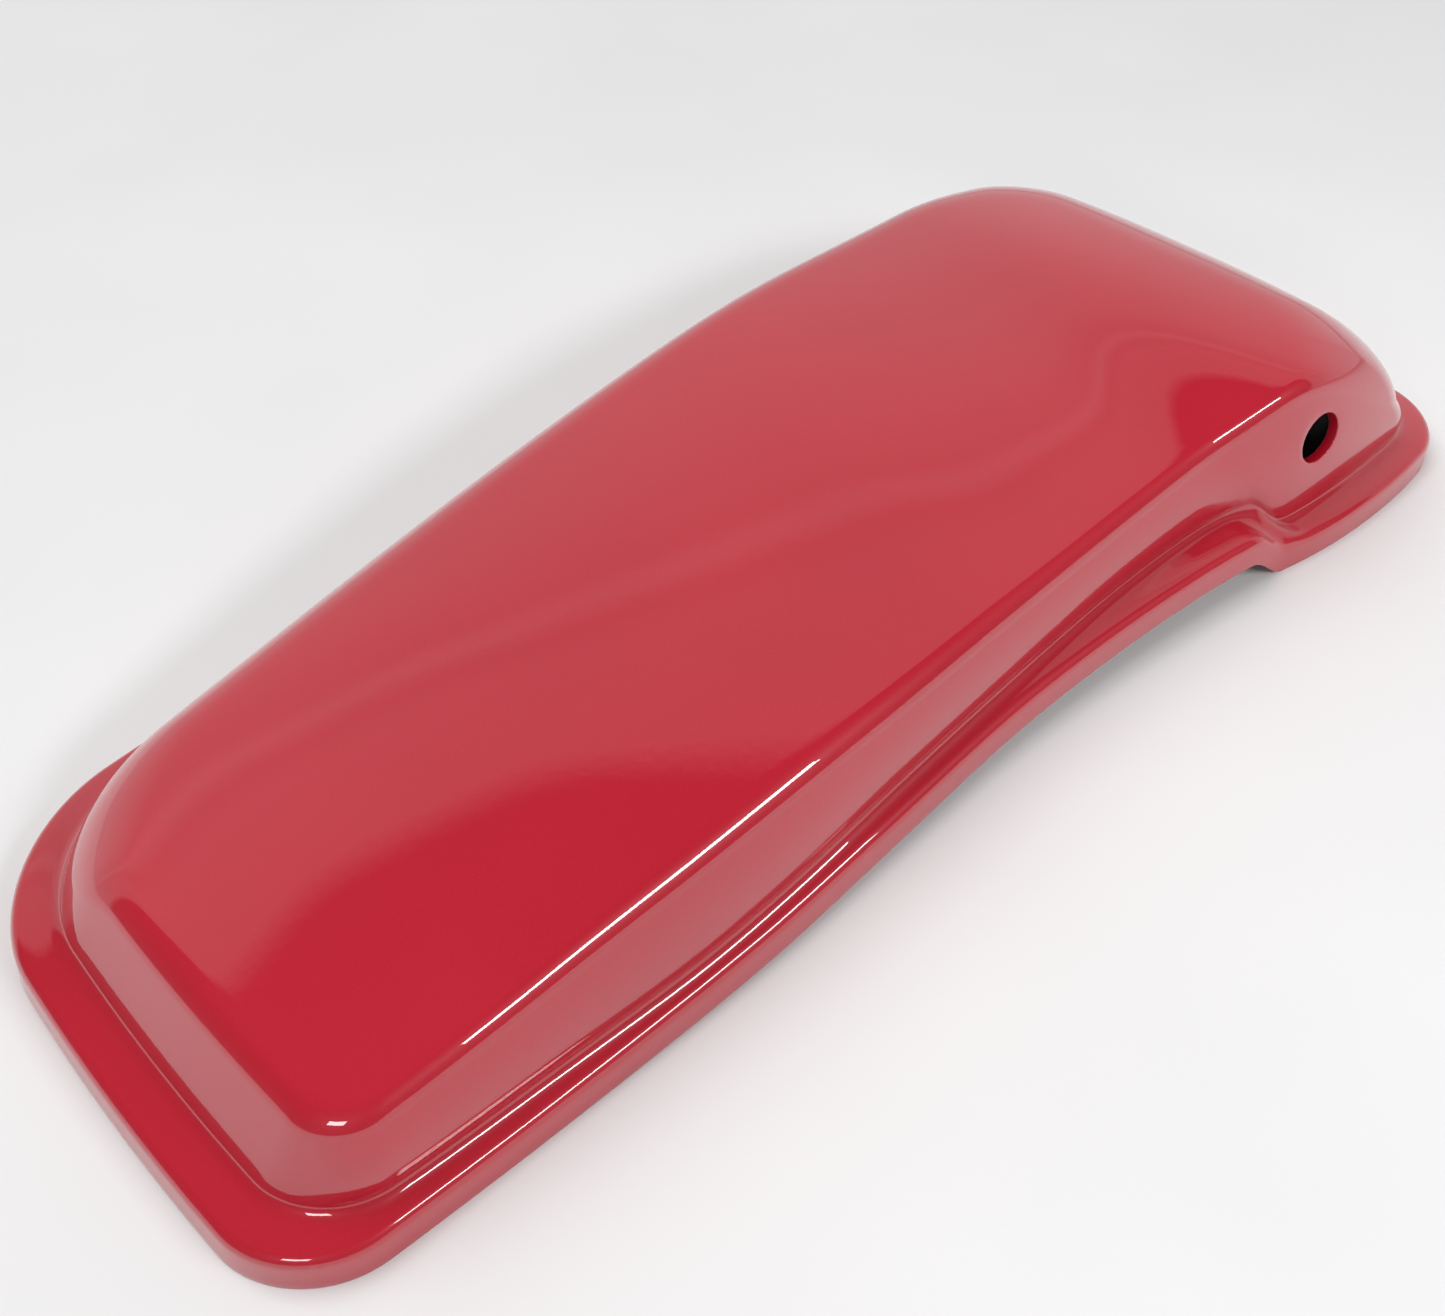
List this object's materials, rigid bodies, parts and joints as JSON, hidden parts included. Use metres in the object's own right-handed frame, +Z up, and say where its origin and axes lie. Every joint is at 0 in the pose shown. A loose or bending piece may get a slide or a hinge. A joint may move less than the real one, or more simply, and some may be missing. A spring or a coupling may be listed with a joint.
{
  "type": "saddlebag lid",
  "caption": "Hard saddlebag lid for a touring motorcycle: glossy red domed moulding with a rim ledge, lock hole, seal, hinges and a sliding latch inside.",
  "frame": {"origin": "on the ground under the middle of the lid's footprint, level with its rim land", "axes": "+X to the tall wide end, -Y to the outer side with the lock hole, +Y to the hinge side, +Z up out of the painted face"},
  "size_m": [0.6108, 0.2592, 0.0889],
  "materials": {
    "paint": "gloss red paint under a clear coat",
    "rubber": "matt black foam rubber",
    "plastic": "fine textured black",
    "zinc": "bright zinc plated sheet",
    "steel": "plain satin steel"
  },
  "bodies": {
    "lid": {"lid_shell": "paint", "seal_outer": "rubber", "seal_hinge_side": "rubber", "hinge_lid_leaf_rear": "zinc", "hinge_pin_rear": "steel", "hinge_screw_rear_1": "steel", "hinge_screw_rear_2": "steel", "hinge_pad_rear": "plastic", "hinge_lid_leaf_front": "zinc", "hinge_pin_front": "steel", "hinge_screw_front_1": "steel", "hinge_screw_front_2": "steel", "hinge_pad_front": "plastic", "guide_pad_rear": "plastic", "bar_guide_rear": "zinc", "guide_screw_rear_1": "steel", "guide_screw_rear_2": "steel", "guide_pad_front": "plastic", "bar_guide_front": "zinc", "guide_screw_front_1": "steel", "guide_screw_front_2": "steel", "lever_pad": "plastic", "lever_plate": "zinc", "lever_stud": "steel", "lever_screw_1": "steel", "lever_screw_2": "steel"},
    "bag_leaf_rear": {"hinge_bag_leaf_rear": "zinc"},
    "bag_leaf_front": {"hinge_bag_leaf_front": "zinc"},
    "latch": {"latch_bar": "steel", "spring_collar": "plastic", "latch_spring": "steel", "latch_hook_rear": "zinc", "latch_hook_front": "zinc", "hook_rivet_rear": "steel", "hook_rivet_front": "steel"},
    "lock_lever": {"lock_lever": "zinc"}
  },
  "joints": [
    {"name": "hinge_rear", "type": "hinge", "parent": "lid", "child": "bag_leaf_rear", "pos_m": [-0.13115, 0.12204, 0.0046], "axis": [1, 0, 0], "range_deg": [0, 180]},
    {"name": "hinge_front", "type": "hinge", "parent": "lid", "child": "bag_leaf_front", "pos_m": [0.14885, 0.12204, 0.0046], "axis": [1, 0, 0], "range_deg": [0, 180]},
    {"name": "latch_slide", "type": "slide", "parent": "lid", "child": "latch", "axis": [1, 0, 0], "range_m": [0, 0.008], "stiffness_N_per_m": 300, "springref_m": -0.01, "deforming": ["latch_spring"]},
    {"name": "lever_turn", "type": "hinge", "parent": "lid", "child": "lock_lever", "pos_m": [0.15085, -0.07246, 0.056], "axis": [0, -1, 0], "range_deg": [0, 23]}
  ],
  "couplings": [
    {"joint": "hinge_front", "follows": "hinge_rear", "ratio": 1},
    {"joint": "lever_turn", "follows": "latch_slide", "rad_per_m": 50}
  ]
}
